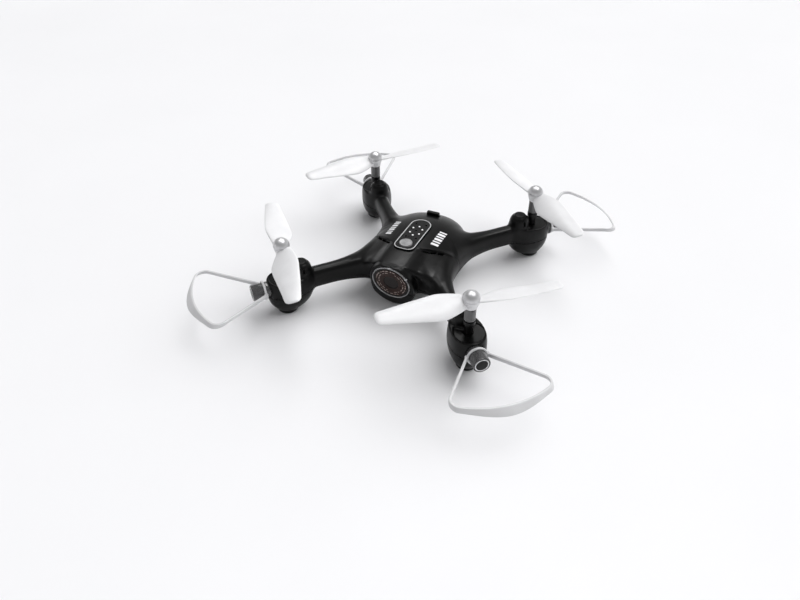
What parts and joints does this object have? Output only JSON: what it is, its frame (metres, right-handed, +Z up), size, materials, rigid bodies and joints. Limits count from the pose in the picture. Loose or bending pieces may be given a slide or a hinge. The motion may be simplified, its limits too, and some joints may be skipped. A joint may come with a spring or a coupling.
{
  "type": "mini quadcopter drone",
  "caption": "Small black quadcopter with slender arms, white two-blade propellers, domed caps, white wire guards, smoked lamps and a round nose camera.",
  "frame": {"origin": "on the ground plane, midway between the four feet", "axes": "+Z up, the nose and its camera point along -Y, the drone's left side is +X"},
  "size_m": [0.2078, 0.2162, 0.048],
  "materials": {
    "black_shell": "satin",
    "black_panel": "satin",
    "white_light": "translucent",
    "grey_button": "satin",
    "circuit_board": "solder mask",
    "red_wire": "matt",
    "cell_wrap": "foil",
    "steel": "bright",
    "bright_ring": "satin",
    "camera_glass": "polished",
    "bronze": "plain",
    "blue_wire": "matt",
    "white_plastic": "semi-gloss",
    "grey_cap": "satin",
    "dark_sleeve": "satin",
    "brass_pinion": "machined",
    "smoked_lens": "clear",
    "guard_plastic": "satin"
  },
  "bodies": {
    "airframe": {"upper_shell": "black_shell", "lower_shell": "black_shell", "deck_panel": "black_panel", "deck_lights": "white_light", "main_board": "circuit_board", "tact_switch": "black_panel", "battery": "cell_wrap", "battery_lead": "red_wire", "battery_hatch": "black_panel", "hatch_screw": "steel", "case_screws": "steel", "port_cover": "black_panel", "camera_bezel": "bright_ring", "camera_window": "camera_glass", "camera_module": "black_panel", "camera_board": "circuit_board", "shaft_bushes": "bronze", "motor_leads": "blue_wire", "motor_front_left": "steel", "motor_front_right": "steel", "motor_rear_left": "steel", "motor_rear_right": "steel", "motor_mount_front_left": "black_panel", "motor_mount_front_right": "black_panel", "motor_mount_rear_left": "black_panel", "motor_mount_rear_right": "black_panel", "lamp_front_left": "smoked_lens", "lamp_front_right": "smoked_lens", "lamp_rear_left": "smoked_lens", "lamp_rear_right": "smoked_lens", "guard_front_left": "guard_plastic", "guard_front_right": "guard_plastic", "guard_rear_left": "guard_plastic", "guard_rear_right": "guard_plastic"},
    "button": {"power_button": "grey_button"},
    "rotor_front_left": {"propeller_front_left": "white_plastic", "cap_front_left": "grey_cap", "sleeve_front_left": "dark_sleeve", "shaft_front_left": "steel", "drive_gear_front_left": "white_plastic"},
    "gear_pinion_front_left": {"pinion_front_left": "brass_pinion"},
    "rotor_front_right": {"propeller_front_right": "white_plastic", "cap_front_right": "grey_cap", "sleeve_front_right": "dark_sleeve", "shaft_front_right": "steel", "drive_gear_front_right": "white_plastic"},
    "gear_pinion_front_right": {"pinion_front_right": "brass_pinion"},
    "rotor_rear_left": {"propeller_rear_left": "white_plastic", "cap_rear_left": "grey_cap", "sleeve_rear_left": "dark_sleeve", "shaft_rear_left": "steel", "drive_gear_rear_left": "white_plastic"},
    "gear_pinion_rear_left": {"pinion_rear_left": "brass_pinion"},
    "rotor_rear_right": {"propeller_rear_right": "white_plastic", "cap_rear_right": "grey_cap", "sleeve_rear_right": "dark_sleeve", "shaft_rear_right": "steel", "drive_gear_rear_right": "white_plastic"},
    "gear_pinion_rear_right": {"pinion_rear_right": "brass_pinion"}
  },
  "joints": [
    {"name": "power_button_press", "type": "slide", "parent": "airframe", "child": "button", "axis": [0, 0, -1], "range_m": [0, 0.0006], "stiffness_N_per_m": 200, "springref_m": -0.001},
    {"name": "rotor_front_left_spin", "type": "hinge", "parent": "airframe", "child": "rotor_front_left", "pos_m": [0.0546, -0.0568, 0.0434], "axis": [0, 0, 1], "continuous": true},
    {"name": "pinion_front_left_spin", "type": "hinge", "parent": "airframe", "child": "gear_pinion_front_left", "pos_m": [0.04905, -0.0503, 0.0105], "axis": [0, 0, 1], "continuous": true},
    {"name": "rotor_front_right_spin", "type": "hinge", "parent": "airframe", "child": "rotor_front_right", "pos_m": [-0.0546, -0.0568, 0.0434], "axis": [0, 0, 1], "continuous": true},
    {"name": "pinion_front_right_spin", "type": "hinge", "parent": "airframe", "child": "gear_pinion_front_right", "pos_m": [-0.04905, -0.0503, 0.0105], "axis": [0, 0, 1], "continuous": true},
    {"name": "rotor_rear_left_spin", "type": "hinge", "parent": "airframe", "child": "rotor_rear_left", "pos_m": [0.0546, 0.0568, 0.0434], "axis": [0, 0, 1], "continuous": true},
    {"name": "pinion_rear_left_spin", "type": "hinge", "parent": "airframe", "child": "gear_pinion_rear_left", "pos_m": [0.04905, 0.0503, 0.0105], "axis": [0, 0, 1], "continuous": true},
    {"name": "rotor_rear_right_spin", "type": "hinge", "parent": "airframe", "child": "rotor_rear_right", "pos_m": [-0.0546, 0.0568, 0.0434], "axis": [0, 0, 1], "continuous": true},
    {"name": "pinion_rear_right_spin", "type": "hinge", "parent": "airframe", "child": "gear_pinion_rear_right", "pos_m": [-0.04905, 0.0503, 0.0105], "axis": [0, 0, 1], "continuous": true}
  ],
  "couplings": [
    {"joint": "pinion_front_left_spin", "follows": "rotor_front_left_spin", "ratio": -3.75},
    {"joint": "pinion_front_right_spin", "follows": "rotor_front_right_spin", "ratio": -3.75},
    {"joint": "pinion_rear_left_spin", "follows": "rotor_rear_left_spin", "ratio": -3.75},
    {"joint": "pinion_rear_right_spin", "follows": "rotor_rear_right_spin", "ratio": -3.75}
  ]
}
